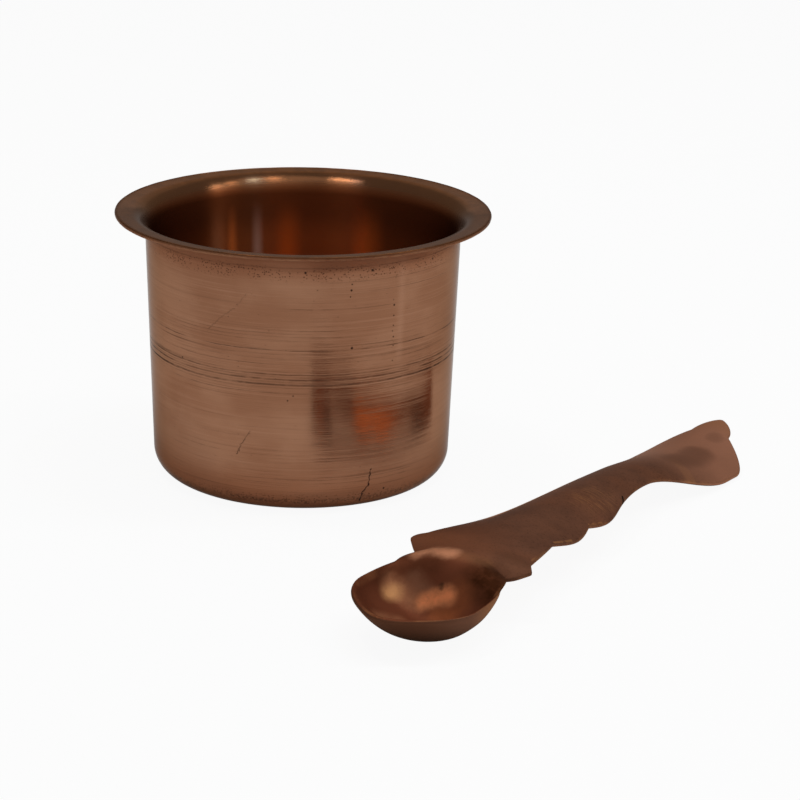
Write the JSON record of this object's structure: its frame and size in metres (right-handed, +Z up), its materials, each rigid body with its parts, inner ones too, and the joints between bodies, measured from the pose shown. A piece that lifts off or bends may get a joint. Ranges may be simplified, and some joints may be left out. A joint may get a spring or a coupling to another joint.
{
  "type": "panchpatra cup and spoon",
  "caption": "Small spun copper cup with a flared lip, and its stamped copper spoon with a dished pointed bowl and a scalloped arched handle, for holding and serving water.",
  "frame": {"origin": "centre of the cup's flat base, on the table", "axes": "+Z up along the cup's axis, -Y towards the side where the spoon's bowl lies, +X to the right"},
  "size_m": [0.1294, 0.142, 0.0546],
  "materials": {
    "cup_copper": "spun copper, satin, with fine rings from the lathe",
    "spoon_copper": "stamped copper, dull brown oxide, bright at worn edges"
  },
  "bodies": {
    "cup": {"cup": "cup_copper"},
    "spoon": {"spoon": "spoon_copper"}
  },
  "joints": [
    {"name": "spoon_lift", "type": "slide", "parent": "cup", "child": "spoon", "axis": [0, 0, 1], "range_m": [0, 0.12]}
  ]
}
